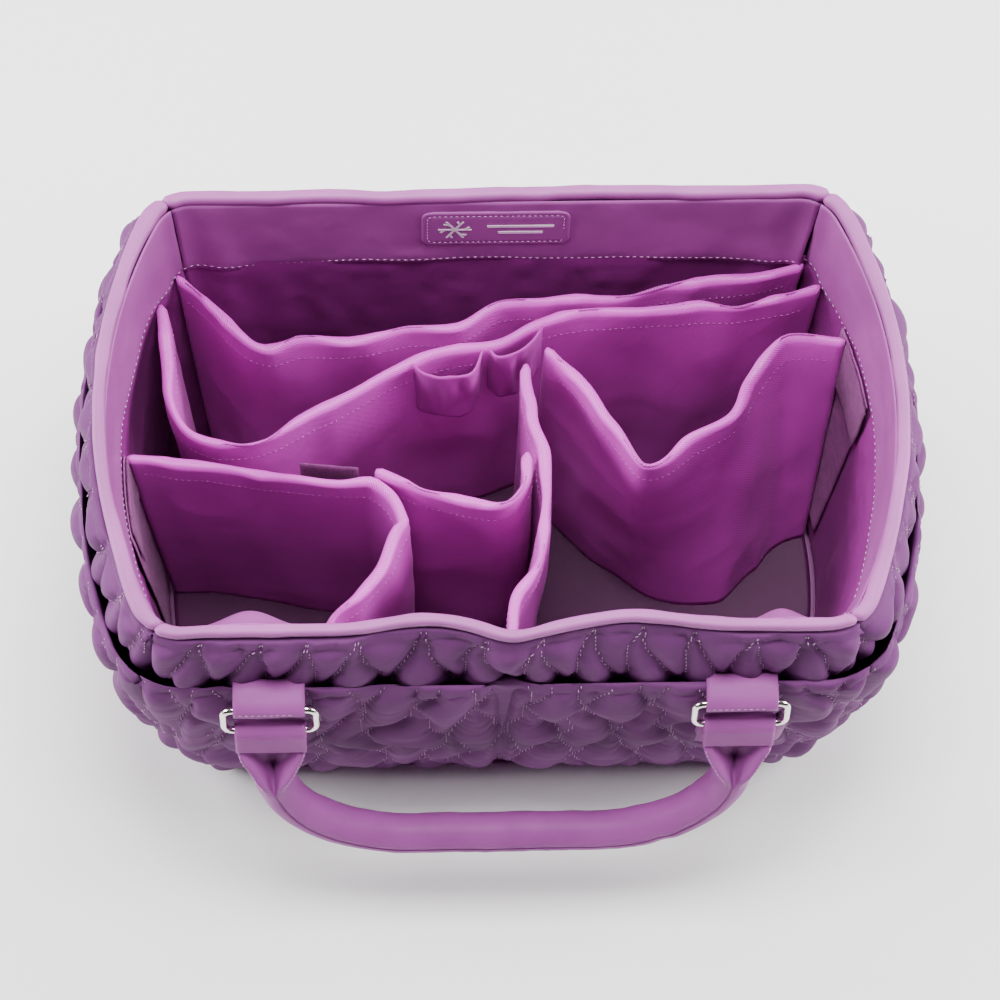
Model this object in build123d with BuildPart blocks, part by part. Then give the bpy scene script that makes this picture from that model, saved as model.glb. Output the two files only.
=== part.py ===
import os
from math import atan2, cos, hypot, radians, sin

from build123d import *

os.makedirs("parts", exist_ok=True)

# Skate bag: an open-topped quilted tote. Millimetres, +Z up, +Y to the back.
# The origin is on the ground, in the middle of the base.

# Wall line: the plan outline of the bag's body, at the ground and at the rim
height = 262                    # ground to the top of the rim
base_half_length = 163          # to the corner, at the ground
base_half_depth = 100
base_bow = 26                   # how far each end stands out in its middle
rim_half_length = 176
rim_half_depth = 122
rim_bow = 31
corner_radius = 22
seam_setback = 56               # where the corner seams' lines meet the middle plane

# Levels of the wall
base_thickness = 3
hip_level = 40                  # where the wall reaches its full puff above the base
belly_level = 122
pocket_drop = 50                # rim to the pockets' top edge
facing_height = 58              # leather band inside, under the rim
rim_thickness = 7

# Layers of the wall, outward and inward from the wall line
skin_thickness = 2
lining_thickness = 1.5
rim_overhang_out = 5.5
rim_overhang_in = 2
rim_round = 3
board_thickness = 3
floor_thickness = 3

# Outer pockets
pocket_floor = 18
pocket_web = 7                  # width of the seam that closes a pocket at each side

# Dividers inside
divider_thickness = 6
divider_top = 198
divider_clearance = 0.4
hook_thickness = 1.5
hook_height = 42
hook_reach = 42
loop_thickness = 0.8
loop_width = 46
loop_floor = 30
elastic_thickness = 1.6
elastic_height = 50

# Handles, rings and tabs
tab_spacing = 122               # middle of the bag to the middle of a tab
tab_width = 37
tab_thickness = 2
tab_tail = 16                   # how deep the tab's end sits behind the pocket's edge
tab_clearance = 0.9
ring_wire = 4
ring_height = 19
ring_corner = 4.75
ring_side_gap = 0.5             # tab's edge to the start of the ring's corner
ring_width = tab_width + 2 * (ring_corner + ring_side_gap)  # between the middles of the wires
ring_running_gap = 0.3
barrel_wall = 2
pivot_drop = 55                 # rim to the ring's upper bar
pivot_standoff = 5              # pocket's face to the ring's upper bar
rest_lean = 12                  # degrees, how far the handle hangs out from upright
handle_drop = 111               # ring's lower bar to the middle of the tube
handle_tube = 22
handle_core = 16
handle_bend = 72
end_length = 37                 # flat end of the handle, from the ring to the tube
end_thickness = 7

# Labels
label_width = 80
label_height = 32
label_corner = 6
label_thickness = 1.2
emblem_thickness = 0.6
patch_width = 46
patch_height = 42
patch_thickness = 1.6
patch_offset = 123
patch_level = height - 122

pocket_top = height - pocket_drop
facing_floor = height - rim_thickness - facing_height
wall_top = height - rim_thickness
levels = [base_thickness, hip_level, belly_level, facing_floor, pocket_top, wall_top]
layers = len(levels)

# Distance from the wall line at each level
wadding_face = [3, 6, 8, 8, 8, 3]
pocket_gap = [0, 4, 8, 9, 9, 9]
pocket_padding = [3, 7, 9, 7, 5, 5]
skin_face = [reach + skin_thickness for reach in wadding_face]
pocket_inside = [reach + gap for reach, gap in zip(skin_face, pocket_gap)]
pocket_outside = [reach + pad for reach, pad in zip(pocket_inside, pocket_padding)]
wall_line = [0] * layers
lining_face = [-lining_thickness] * layers
loop_face = [-lining_thickness - loop_thickness] * layers
hook_back = [reach - divider_clearance for reach in loop_face]
hook_face = [reach - hook_thickness for reach in hook_back]


def half_sizes(level):
    """Half length, half depth and bow of the wall line at a level."""
    rise = level / height
    return (
        base_half_length + (rim_half_length - base_half_length) * rise,
        base_half_depth + (rim_half_depth - base_half_depth) * rise,
        base_bow + (rim_bow - base_bow) * rise,
    )


def outline(level, reach):
    """Plan outline at a level, moved outward from the wall line."""
    half_length, half_depth, bow = half_sizes(level)
    x, y = half_length + reach, half_depth + reach
    with BuildSketch(Plane.XY.offset(level)) as section:
        with BuildLine():
            Line((-x, -y), (x, -y))
            ThreePointArc((x, -y), (x + bow, 0), (x, y))
            Line((x, y), (-x, y))
            ThreePointArc((-x, y), (-x - bow, 0), (-x, -y))
        make_face()
        fillet(section.vertices(), corner_radius + reach)
    return section.sketch


def wall_surface(reaches):
    """Sections of one surface of the wall, from the base to the rim."""
    return [outline(level, reach) for level, reach in zip(levels, reaches)]


def strip(points, width, level):
    """Section of a soft strip that follows points in plan."""
    last = len(points) - 1
    left, right = [], []
    for index, (x, y) in enumerate(points):
        before, after = points[max(index - 1, 0)], points[min(index + 1, last)]
        run_x, run_y = after[0] - before[0], after[1] - before[1]
        run = hypot(run_x, run_y)
        shift_x, shift_y = -run_y / run * width / 2, run_x / run * width / 2
        left.append((x + shift_x, y + shift_y))
        right.append((x - shift_x, y - shift_y))
    with BuildSketch(Plane.XY.offset(level)) as section:
        with BuildLine():
            Spline(*left)
            Line(left[-1], right[-1])
            Spline(*reversed(right))
            Line(right[0], left[0])
        make_face()
    return section.sketch


def route(shares, level):
    """Points in plan from shares of the wall's half length and half depth."""
    half_length, half_depth, bow = half_sizes(level)
    return [(x * half_length, y * half_depth) for x, y in shares]


def save(piece, name):
    piece.label = name
    export_step(piece, f"parts/{name}.step")


# Base
plates = {
    "base_panel": (0, base_thickness, pocket_outside[0]),
    "base_board": (base_thickness, board_thickness, -lining_thickness),
    "floor_lining": (base_thickness + board_thickness, floor_thickness, -lining_thickness),
}
for name, (level, thickness, reach) in plates.items():
    with BuildPart() as plate:
        add(outline(level, reach))
        extrude(amount=thickness)
    save(plate.part, name)
floor_level = base_thickness + board_thickness + floor_thickness

# Rings of wall, each cut into four panels at the corner seams
with BuildPart() as skin_ring:
    loft(wall_surface(skin_face), ruled=True)
    loft(wall_surface(wadding_face), ruled=True, mode=Mode.SUBTRACT)

with BuildPart() as wadding_ring:
    loft(wall_surface(wadding_face), ruled=True)
    loft(wall_surface(wall_line), ruled=True, mode=Mode.SUBTRACT)

with BuildPart() as inner_ring:
    loft(wall_surface(wall_line), ruled=True)
    loft(wall_surface(lining_face), ruled=True, mode=Mode.SUBTRACT)

with BuildPart() as lining_ring:
    add(inner_ring.part)
    split(bisect_by=Plane.XY.offset(facing_floor), keep=Keep.BOTTOM)

with BuildPart() as facing_ring:
    add(inner_ring.part)
    split(bisect_by=Plane.XY.offset(facing_floor), keep=Keep.TOP)

with BuildPart() as rim_ring:
    add(outline(wall_top, rim_overhang_out))
    extrude(amount=rim_thickness)
    add(outline(wall_top, -rim_overhang_in))
    extrude(amount=rim_thickness, mode=Mode.SUBTRACT)
    fillet(rim_ring.edges().group_by(Axis.Z)[-1], rim_round)

with BuildPart() as pocket_ring:
    loft(wall_surface(pocket_outside), ruled=True)
    loft(wall_surface(skin_face), ruled=True, mode=Mode.SUBTRACT)
    split(bisect_by=Plane.XY.offset(pocket_top), keep=Keep.BOTTOM)

with BuildPart() as pocket_void:
    loft(wall_surface(pocket_inside), ruled=True)
    loft(wall_surface(skin_face), ruled=True, mode=Mode.SUBTRACT)
    split(bisect_by=Plane.XY.offset(pocket_floor), keep=Keep.TOP)

far = 2 * (rim_half_length + rim_bow)


def quarter(turn, inset):
    """Plan wedge between two corner seams, drawn in from each seam by inset."""
    setback = seam_setback - inset * 2**0.5
    if turn in (0, 180):
        points = [(-setback, 0), (setback, 0), (setback + far, -far), (-setback - far, -far)]
    else:
        setback = seam_setback + inset * 2**0.5
        points = [(0, -setback), (far, -setback - far), (-far, -setback - far)]
    with BuildSketch(Plane.XY.rotated((0, 0, turn))) as wedge:
        with BuildLine():
            Polyline(*points, close=True)
        make_face()
    return wedge.sketch


sides = {"front": 0, "right": 90, "back": 180, "left": 270}
rings = {
    "panel": skin_ring, "wadding": wadding_ring, "lining": lining_ring, "facing": facing_ring,
    "rim": rim_ring, "pocket": pocket_ring,
}
for side, turn in sides.items():
    with BuildPart() as pocket_space:
        add(pocket_void.part)
        add(quarter(turn, pocket_web))
        extrude(amount=height, mode=Mode.INTERSECT)
        if turn in (0, 180):
            Box(pocket_web, far, 2 * height, mode=Mode.SUBTRACT)
    for layer, ring in rings.items():
        with BuildPart() as piece:
            add(ring.part)
            add(quarter(turn, 0))
            extrude(amount=height, mode=Mode.INTERSECT)
            if layer == "pocket":
                add(pocket_space.part, mode=Mode.SUBTRACT)
        save(piece.part, f"{side}_{layer}")

# Labels: one inside the back facing, one outside on the front pocket
slope = atan2(rim_half_depth - base_half_depth, height)
label_level = (facing_floor + wall_top) / 2 + 6
label_plane = Plane(
    origin=(0, half_sizes(label_level)[1] - lining_thickness, label_level),
    x_dir=(1, 0, 0), z_dir=(0, -cos(slope), sin(slope)),
)
with BuildPart() as inner_label:
    with BuildSketch(label_plane):
        RectangleRounded(label_width, label_height, label_corner)
    extrude(amount=label_thickness)
save(inner_label.part, "inner_label")

flake_arm, flake_branch, flake_stroke = 9, 3.5, 1.2
bar_long, bar_short, bar_stroke = 36, 24, 2
with BuildPart() as label_emblem:
    with BuildSketch(label_plane.offset(label_thickness)):
        with Locations((-label_width / 2 + 2 * flake_arm, 0)):
            Circle(flake_stroke)
            with PolarLocations(0, 6):
                Rectangle(flake_arm, flake_stroke, align=(Align.MIN, Align.CENTER))
                with Locations((flake_arm * 0.6, 0)):
                    with PolarLocations(0, 2, start_angle=50, angular_range=260):
                        Rectangle(flake_branch, flake_stroke, align=(Align.MIN, Align.CENTER))
        with Locations((label_width / 6, 3 * bar_stroke / 2)):
            Rectangle(bar_long, bar_stroke)
        with Locations((label_width / 6, -3 * bar_stroke / 2)):
            Rectangle(bar_short, bar_stroke)
    extrude(amount=emblem_thickness)
save(label_emblem.part, "label_emblem")

patch_face = half_sizes(pocket_top)[1] + max(pocket_outside)
patch_sections = {
    "front_patch": (patch_width, patch_height, 5, 0, patch_thickness),
    "patch_emblem": (8, 3, 1.4, 11, patch_thickness + emblem_thickness),
}
for name, (width, tall, corner, shift, proud) in patch_sections.items():
    with BuildPart() as patch:
        spot = (patch_offset + shift, 0, patch_level - shift)
        with BuildSketch(Plane(spot, x_dir=(1, 0, 0), z_dir=(0, -1, 0))):
            RectangleRounded(width, tall, corner)
        extrude(amount=patch_face + far)
        reaches = [reach + proud for reach in pocket_outside]
        loft(wall_surface(reaches), ruled=True, mode=Mode.INTERSECT)
        inner = [reach + proud - emblem_thickness for reach in pocket_outside]
        loft(
            wall_surface(pocket_outside if name == "front_patch" else inner),
            ruled=True, mode=Mode.SUBTRACT,
        )
    save(patch.part, name)

# Sewn-in dividers, whose routes follow the taper of the walls
back_route = [
    (-1.03, 0.96), (-0.88, 0.76), (-0.77, 0.58), (-0.61, 0.56), (-0.24, 0.64),
    (0.14, 0.78), (0.65, 0.88), (1.0, 0.96),
]
middle_route = [
    (-1.06, 0.84), (-1.035, 0.58), (-1.015, 0.29), (-0.955, 0.12), (-0.845, 0.075), (-0.705, 0.11),
    (-0.52, 0.27), (-0.255, 0.48), (-0.035, 0.57), (0.14, 0.675), (0.45, 0.735), (0.64, 0.72),
    (1.05, 0.84),
]


def sewn(points, width):
    """Sections of a sewn-in divider, at the ground and at its top."""
    return [strip(route(points, level), width, level) for level in (0, divider_top)]


for name, points in {"back_divider": back_route, "middle_divider": middle_route}.items():
    with BuildPart() as divider:
        loft(sewn(points, divider_thickness), ruled=True)
        loft(wall_surface(lining_face), ruled=True, mode=Mode.INTERSECT)
        split(bisect_by=Plane.XY.offset(floor_level), keep=Keep.TOP)
    save(divider.part, name)

# Elastic loops on the front of the middle divider
loop_routes = [
    [(-0.266, 0.44), (-0.22, 0.395), (-0.15, 0.375), (-0.08, 0.405), (-0.04, 0.505)],
    [(-0.028, 0.512), (0.006, 0.482), (0.052, 0.49), (0.1, 0.54), (0.148, 0.635)],
]
with BuildPart() as elastic_loops:
    for points in loop_routes:
        loft(
            [
                strip(route(points, level), elastic_thickness, level)
                for level in (divider_top - elastic_height, divider_top)
            ],
            ruled=True,
        )
    loft(sewn(middle_route, divider_thickness), ruled=True, mode=Mode.SUBTRACT)
save(elastic_loops.part, "elastic_loops")

# Loop strips on the lining, which the removable dividers' hook tabs grip
loop_places = {
    "left": (-far, 0, -0.2), "right": (far, 0, 0.42), "front": (0.12, -far, 0), "near": (-0.5, -far, 0),
}
with BuildPart() as loop_strips:
    for x, y, share in loop_places.values():
        across, along = half_sizes(divider_top)[:2]
        with BuildSketch(Plane.XY.offset(loop_floor)):
            if abs(x) == far:
                with Locations((x / 2, share * along)):
                    Rectangle(far, loop_width)
            else:
                with Locations((x * across, y / 2)):
                    Rectangle(loop_width, far)
        extrude(amount=divider_top - loop_floor)
    loft(wall_surface(lining_face), ruled=True, mode=Mode.INTERSECT)
    loft(wall_surface(loop_face), ruled=True, mode=Mode.SUBTRACT)
save(loop_strips.part, "loop_strips")

# Removable dividers: each stands on the floor lining and lifts straight out
centre_route = [
    (0.09, 0.45), (0.116, 0.256), (0.127, 0.01), (0.127, -0.24), (0.087, -0.54), (0.035, -0.77),
    (0.012, -1.08),
]
box_route = [
    (-1.3, 0.017), (-0.861, -0.034), (-0.578, -0.111), (-0.4, -0.145), (-0.29, -0.325),
    (-0.347, -0.53), (-0.434, -0.684), (-0.526, -0.81), (-0.566, -1.08),
]
cross_route = [
    (-0.382, -0.077), (-0.3, -0.145), (-0.214, -0.205), (-0.012, -0.24), (0.069, -0.145),
    (0.088, -0.017), (0.09, 0.07),
]
vee_top_route = [
    (0.156, 0.53), (0.318, 0.205), (0.451, -0.051), (0.561, 0.0), (0.734, 0.248), (0.867, 0.513),
    (0.971, 0.57), (1.25, 0.52),
]
vee_floor_route = [
    (0.139, 0.496), (0.254, 0.274), (0.382, 0.085), (0.532, -0.068), (0.74, -0.12), (0.879, 0.051),
    (0.994, 0.2), (1.25, 0.3),
]
stand_level = floor_level + divider_clearance
gap_width = divider_thickness + 2 * divider_clearance


def upright(points, width):
    """Sections of a divider that stands plumb."""
    return [strip(route(points, divider_top), width, level) for level in (0, divider_top)]


def leaning(width):
    """Sections of the vee divider, whose foot stands forward of its top."""
    return [
        strip(route(vee_floor_route, divider_top), width, 0),
        strip(route(vee_top_route, divider_top), width, divider_top),
    ]


removable = {
    "centre_divider": (upright(centre_route, divider_thickness), []),
    "box_divider": (upright(box_route, divider_thickness), []),
    "cross_divider": (
        upright(cross_route, divider_thickness),
        [upright(centre_route, gap_width), upright(box_route, gap_width)],
    ),
    "vee_divider": (leaning(divider_thickness), [upright(centre_route, gap_width)]),
}
for name, (sections, neighbours) in removable.items():
    with BuildPart() as divider:
        loft(sections, ruled=True)
        loft(wall_surface(hook_back), ruled=True, mode=Mode.INTERSECT)
        for neighbour in [*neighbours, sewn(middle_route, gap_width)]:
            loft(neighbour, ruled=True, mode=Mode.SUBTRACT)
        split(bisect_by=Plane.XY.offset(stand_level), keep=Keep.TOP)
    save(divider.part, name)

# Hook tabs, which run from a divider's end along the wall's loop strip
across, along = half_sizes(divider_top)[:2]
hook_floor = divider_top - hook_height
hooks = {
    "centre_hook": ((hook_reach / 2, -along), (hook_reach, 2 * corner_radius), centre_route),
    "box_hook": ((-across, -0.2 * along), (4 * corner_radius, hook_reach), box_route),
    "vee_hook": ((across, 0.36 * along), (4 * corner_radius, hook_reach), vee_top_route),
}
for name, (spot, size, points) in hooks.items():
    with BuildPart() as hook:
        with BuildSketch(Plane.XY.offset(hook_floor)):
            with Locations(spot):
                Rectangle(*size)
        extrude(amount=hook_height)
        loft(wall_surface(hook_back), ruled=True, mode=Mode.INTERSECT)
        loft(wall_surface(hook_face), ruled=True, mode=Mode.SUBTRACT)
        owner = leaning(divider_thickness) if name == "vee_hook" else upright(points, divider_thickness)
        loft(owner, ruled=True, mode=Mode.SUBTRACT)
    save(hook.part, name)

cross_hook_route = [(-0.62, -0.062), (-0.5, -0.089), (-0.41, -0.11)]
with BuildPart() as cross_hook:
    loft(
        [strip(route(cross_hook_route, divider_top), hook_thickness, level) for level in
         (hook_floor, divider_top)],
        ruled=True,
    )
    loft(upright(box_route, gap_width), ruled=True, mode=Mode.SUBTRACT)
    loft(upright(cross_route, divider_thickness), ruled=True, mode=Mode.SUBTRACT)
save(cross_hook.part, "cross_hook")

# Handle hardware at the front, mirrored to the back
pocket_edge = half_sizes(pocket_top)[1] + pocket_outside[levels.index(pocket_top)]
pivot_y = -(pocket_edge + pivot_standoff)
pivot_z = height - pivot_drop
bore = ring_wire / 2 + ring_running_gap
barrel = bore + barrel_wall
hang = Plane(
    origin=(0, pivot_y, pivot_z), x_dir=(1, 0, 0),
    z_dir=(0, -cos(radians(rest_lean)), sin(radians(rest_lean))),
)
tail_y = -(half_sizes(pocket_top)[1] + pocket_inside[levels.index(pocket_top)] - 2 * tab_thickness)
fold_z = pocket_top + tab_clearance + tab_thickness / 2


def both_ends(piece, name):
    """Saves a front piece and its mirror image at the back."""
    save(piece, f"front_{name}")
    with BuildPart() as back_piece:
        mirror(piece, about=Plane.XZ)
    save(back_piece.part, f"back_{name}")


for hand, side in {"left": -1, "right": 1}.items():
    middle = side * tab_spacing
    with BuildPart() as tab:
        with BuildSketch(Plane((middle - tab_width / 2, 0, 0), x_dir=(0, 1, 0), z_dir=(1, 0, 0))):
            with BuildLine():
                FilletPolyline(
                    (pivot_y, pivot_z + barrel - tab_thickness / 2), (pivot_y + 3, fold_z),
                    (tail_y, fold_z), (tail_y, pocket_top - tab_tail), radius=1.4,
                )
            trace(line_width=tab_thickness)
            with Locations((pivot_y, pivot_z)):
                Circle(barrel)
                Circle(bore, mode=Mode.SUBTRACT)
        extrude(amount=tab_width)
    both_ends(tab.part, f"{hand}_tab")

    with BuildPart() as ring:
        with BuildLine(hang) as wire:
            FilletPolyline(
                (middle + ring_width / 2, 0), (middle + ring_width / 2, -ring_height),
                (middle - ring_width / 2, -ring_height), (middle - ring_width / 2, 0),
                radius=ring_corner, close=True,
            )
        with BuildSketch(Plane(wire.line @ 0, z_dir=wire.line % 0)):
            Circle(ring_wire / 2)
        sweep()
    both_ends(ring.part, f"{hand}_ring")

    grip_start = -ring_height - end_length
    with BuildPart() as end:
        with BuildSketch(Plane(hang.from_local_coords((middle, -ring_height, 0)), x_dir=(1, 0, 0),
                               z_dir=-hang.y_dir)):
            Rectangle(tab_width, end_thickness)
        with BuildSketch(Plane(hang.from_local_coords((middle, grip_start, 0)), x_dir=(1, 0, 0),
                               z_dir=-hang.y_dir)):
            Circle(handle_tube / 2)
        loft()
        with Locations(Plane(hang.from_local_coords((middle, -ring_height, 0)), x_dir=(0, 1, 0),
                             z_dir=(1, 0, 0))):
            Cylinder(barrel, tab_width)
            Cylinder(bore, 2 * tab_width, mode=Mode.SUBTRACT)
    both_ends(end.part, f"{hand}_handle_end")

for layer, (outer, inner) in {"cover": (handle_tube, handle_core), "core": (handle_core, 0)}.items():
    with BuildPart() as grip:
        low = -ring_height - handle_drop
        with BuildLine(hang) as bend:
            FilletPolyline(
                (-tab_spacing, grip_start), (-tab_spacing, low), (tab_spacing, low),
                (tab_spacing, grip_start), radius=handle_bend,
            )
        with BuildSketch(Plane(bend.line @ 0, z_dir=bend.line % 0)):
            Circle(outer / 2)
            if inner:
                Circle(inner / 2, mode=Mode.SUBTRACT)
        sweep()
    both_ends(grip.part, f"handle_{layer}")
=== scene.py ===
import math
import bpy
import numpy as np
from mathutils import Matrix, Vector


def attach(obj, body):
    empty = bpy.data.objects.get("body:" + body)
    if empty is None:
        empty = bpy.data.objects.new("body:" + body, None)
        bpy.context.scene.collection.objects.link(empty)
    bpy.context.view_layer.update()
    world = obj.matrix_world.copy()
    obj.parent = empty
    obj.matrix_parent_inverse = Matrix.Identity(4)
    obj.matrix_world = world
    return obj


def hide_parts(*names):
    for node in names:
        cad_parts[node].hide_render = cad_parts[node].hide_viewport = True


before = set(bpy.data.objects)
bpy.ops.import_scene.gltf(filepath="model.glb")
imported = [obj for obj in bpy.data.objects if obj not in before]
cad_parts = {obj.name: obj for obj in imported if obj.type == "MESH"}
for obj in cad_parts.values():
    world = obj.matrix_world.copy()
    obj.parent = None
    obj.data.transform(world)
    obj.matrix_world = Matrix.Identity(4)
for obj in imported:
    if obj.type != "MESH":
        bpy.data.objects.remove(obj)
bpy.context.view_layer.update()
mm = 0.001
print("frame loaded:", len(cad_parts), "nodes")


def addPiece(name, points, faces, material, body="bag", uv=None, replaces=()):
    # points (n, 3) in mm, scaled to metres here; faces: an index array for each number of corners
    mesh = bpy.data.meshes.new(name)
    mesh.vertices.add(len(points))
    mesh.vertices.foreach_set("co", (np.asarray(points, float) * mm).astype(np.float32).ravel())
    faces = [np.asarray(f) for f in faces if len(f)]
    corners = np.concatenate([f.ravel() for f in faces])
    counts = np.concatenate([np.full(len(f), f.shape[1]) for f in faces])
    mesh.loops.add(len(corners))
    mesh.loops.foreach_set("vertex_index", corners.astype(np.int32))
    mesh.polygons.add(len(counts))
    mesh.polygons.foreach_set("loop_start", np.concatenate([[0], np.cumsum(counts)[:-1]]).astype(np.int32))
    mesh.polygons.foreach_set("use_smooth", np.ones(len(counts), bool))
    mesh.update(calc_edges=True)
    if uv is not None:
        layer = mesh.uv_layers.new(name="cloth")
        layer.data.foreach_set("uv", np.asarray(uv, float)[corners].astype(np.float32).ravel())
    mesh.validate()
    piece = bpy.data.objects.new(name, mesh)
    bpy.context.scene.collection.objects.link(piece)
    mesh.materials.append(material)
    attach(piece, body)
    if replaces:
        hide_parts(*replaces)
    return piece


def gridFaces(rows, cols, loopRows=False, loopCols=False, start=0):
    # quads of a rows by cols grid, facing columns cross rows, wrapped where a direction is a loop
    r = np.arange(rows if loopRows else rows - 1)[:, None]
    c = np.arange(cols if loopCols else cols - 1)[None, :]
    r2, c2 = (r + 1) % rows, (c + 1) % cols
    quads = np.stack([r * cols + c, r * cols + c2, r2 * cols + c2, r2 * cols + c], -1)
    return quads.reshape(-1, 4) + start


def paddedFaces(rows, cols, step):
    # a fine front grid, a back grid with every step-th point, and a rim of polygons that joins them
    backRows, backCols, base = (rows - 1) // step + 1, (cols - 1) // step + 1, rows * cols
    back = gridFaces(backRows, backCols, start=base)[:, ::-1]
    k, span = np.arange(backCols - 1)[:, None], np.arange(step + 1)[None, :]
    low = np.hstack([(k * step + span)[:, ::-1], base + k, base + k + 1])
    last = base + (backRows - 1) * backCols
    high = np.hstack([(rows - 1) * cols + k * step + span, last + k + 1, last + k])
    k = np.arange(backRows - 1)[:, None]
    left = np.hstack([(k * step + span) * cols, base + (k + 1) * backCols, base + k * backCols])
    right = np.hstack([((k * step + span) * cols + cols - 1)[:, ::-1],
                       base + k * backCols + backCols - 1, base + (k + 1) * backCols + backCols - 1])
    return [gridFaces(rows, cols), back, np.vstack([low, high, left, right])]


def gridNormal(grid):
    # cross product of the steps along the columns and along the rows, at unit length
    n = np.cross(np.gradient(grid, axis=1), np.gradient(grid, axis=0))
    return n / (np.linalg.norm(n, axis=-1, keepdims=True) + 1e-9)


def smoothNoise(seed, rows, cols, cellRows, cellCols):
    # random heights on a coarse lattice, blended between its points with a smooth step
    lattice = np.random.default_rng(seed).standard_normal((int(rows / cellRows) + 4, int(cols / cellCols) + 4))
    y = np.linspace(0, rows / cellRows, rows)[:, None]
    x = np.linspace(0, cols / cellCols, cols)[None, :]
    yi, xi = y.astype(int), x.astype(int)
    fy, fx = y - yi, x - xi
    fy, fx = fy * fy * (3 - 2 * fy), fx * fx * (3 - 2 * fx)
    low = lattice[yi, xi] * (1 - fx) + lattice[yi, xi + 1] * fx
    high = lattice[yi + 1, xi] * (1 - fx) + lattice[yi + 1, xi + 1] * fx
    return low * (1 - fy) + high * fy


def runAlong(path):
    # the distance walked along a polyline up to each of its points
    return np.concatenate([[0], np.cumsum(np.linalg.norm(np.diff(path, axis=0), axis=1))])


def pointsAt(path, run, places):
    # the polyline's points at walked distances, on the straight runs between its own
    return np.stack([np.interp(places, run, path[:, k]) for k in range(path.shape[1])], -1)


def joined(x, y, z):
    # three coordinates, spread over the same grid where one of them is only a row, a column or a number
    return np.stack(np.broadcast_arrays(x, y, z), -1).astype(float)


def curveThrough(points, count, sharp=()):
    # Catmull-Rom curve through points, resampled evenly; at the sharp ones its tangent is a quarter as long
    p = np.asarray(points, float)
    tangent = np.gradient(p, axis=0)
    for index in sharp:
        tangent[index] *= 0.25
    t = np.linspace(0, len(p) - 1, 40 * len(p))
    i = np.minimum(t.astype(int), len(p) - 2)
    f = (t - i)[:, None]
    fine = ((2 * f**3 - 3 * f**2 + 1) * p[i] + (f**3 - 2 * f**2 + f) * tangent[i]
            + (3 * f**2 - 2 * f**3) * p[i + 1] + (f**3 - f**2) * tangent[i + 1])
    run = runAlong(fine)
    return pointsAt(fine, run, np.linspace(0, run[-1], count)), run[-1]


def easeStep(x, low, high):
    # 0 below low, 1 above high, a smooth cubic between
    t = np.clip((x - low) / (high - low), 0.0, 1.0)
    return t * t * (3 - 2 * t)


def hump(x, centre, width):
    # a bell: e to the minus squared distance from centre, over width
    return np.exp(-((x - centre) / width)**2)


# the wall's outline in plan: straight faces, bowed ends and rounded corners, growing from base to rim
wall = dict(height=262.0, baseLength=163.0, baseDepth=100.0, baseBow=26.0,
            rimLength=176.0, rimDepth=122.0, rimBow=31.0, corner=22.0)
# how far each layer stands out from the outline at each level
levelMarks = [0, 3, 40, 122, 197, 212, 255, 262]
reachMarks = dict(wadding=[3, 3, 6, 8, 8, 8, 3, 3], skin=[5, 5, 8, 10, 10, 10, 5, 5],
                  pocketInside=[5, 5, 12, 18, 19, 19, 14, 14])
sides = ("front", "right", "back", "left")


def reachAt(layer, level):
    # straight lines between the marks
    return np.interp(level, levelMarks, reachMarks[layer])


def halfSizes(level):
    # the outline's half length, half depth and bow at a level, straight lines from base to rim
    return [wall["base" + size] + (wall["rim" + size] - wall["base" + size]) * (level / wall["height"])
            for size in ("Length", "Depth", "Bow")]


def outlineArcs(level, reach):
    # The end is an arc through the depth's two ends and the bow's top; the corner's arc touches it and
    # the straight face from inside. Gives half depth, corner radius, bow radius and the two centres.
    length, depth, bow = halfSizes(level)
    length, depth = length + reach, depth + reach
    small = np.maximum(wall["corner"] + reach, 2)
    big = (depth**2 + bow**2) / (2 * bow)
    bigX = length + bow - big
    cornerY = depth - small
    return depth, small, big, bigX, bigX + np.sqrt((big - small)**2 - cornerY**2), cornerY


def wallPoint(side, share, level, reach):
    # share runs -1 to 1 between two corner seams, left to right as seen from outside. A face is a
    # straight run, then half the corner's arc; an end is its long bowed arc, then half the corner's.
    # Gives the points and their level outward normals.
    share, level, reach = np.broadcast_arrays(np.asarray(share, float), level, reach)
    y, small, big, bigX, cornerX, cornerY = outlineArcs(level, reach)
    turn = np.arctan2(cornerY, cornerX - bigX)           # the bowed arc's half angle
    sweep = np.pi / 2 - turn                             # the corner arc's angle
    if side in ("front", "back"):
        far = np.abs(share) * (cornerX + small * sweep / 2)
        onFace = far < cornerX
        angle = -np.pi / 2 + np.maximum(far - cornerX, 0) / small
        px = np.where(onFace, far, cornerX + small * np.cos(angle)) * np.sign(share)
        py = np.where(onFace, -y, small * np.sin(angle) - cornerY)
        nx = np.where(onFace, 0, np.cos(angle)) * np.sign(share)
        ny = np.where(onFace, -1, np.sin(angle))
    else:
        far = np.abs(share) * (big * turn + small * sweep / 2)
        onBow = far < big * turn
        angle = np.where(onBow, -far / big, -turn - (far - big * turn) / small)
        px = np.where(onBow, bigX + big * np.cos(angle), cornerX + small * np.cos(angle))
        py = np.where(onBow, big * np.sin(angle), small * np.sin(angle) - cornerY) * -np.sign(share)
        nx, ny = np.cos(angle), np.sin(angle) * -np.sign(share)
    if side == "front":
        # the soft front rim is pushed in twice and stands out between
        sway = 5.0 * hump(px, 2, 17) - 5.5 * hump(px, -42, 27) - 6.0 * hump(px, 64, 34)
        py = py - sway * easeStep(level, 208, 250)
    if side in ("back", "left"):
        px, py, nx, ny = -px, -py, -nx, -ny
    return joined(px, py, level), joined(nx, ny, 0)


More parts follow.
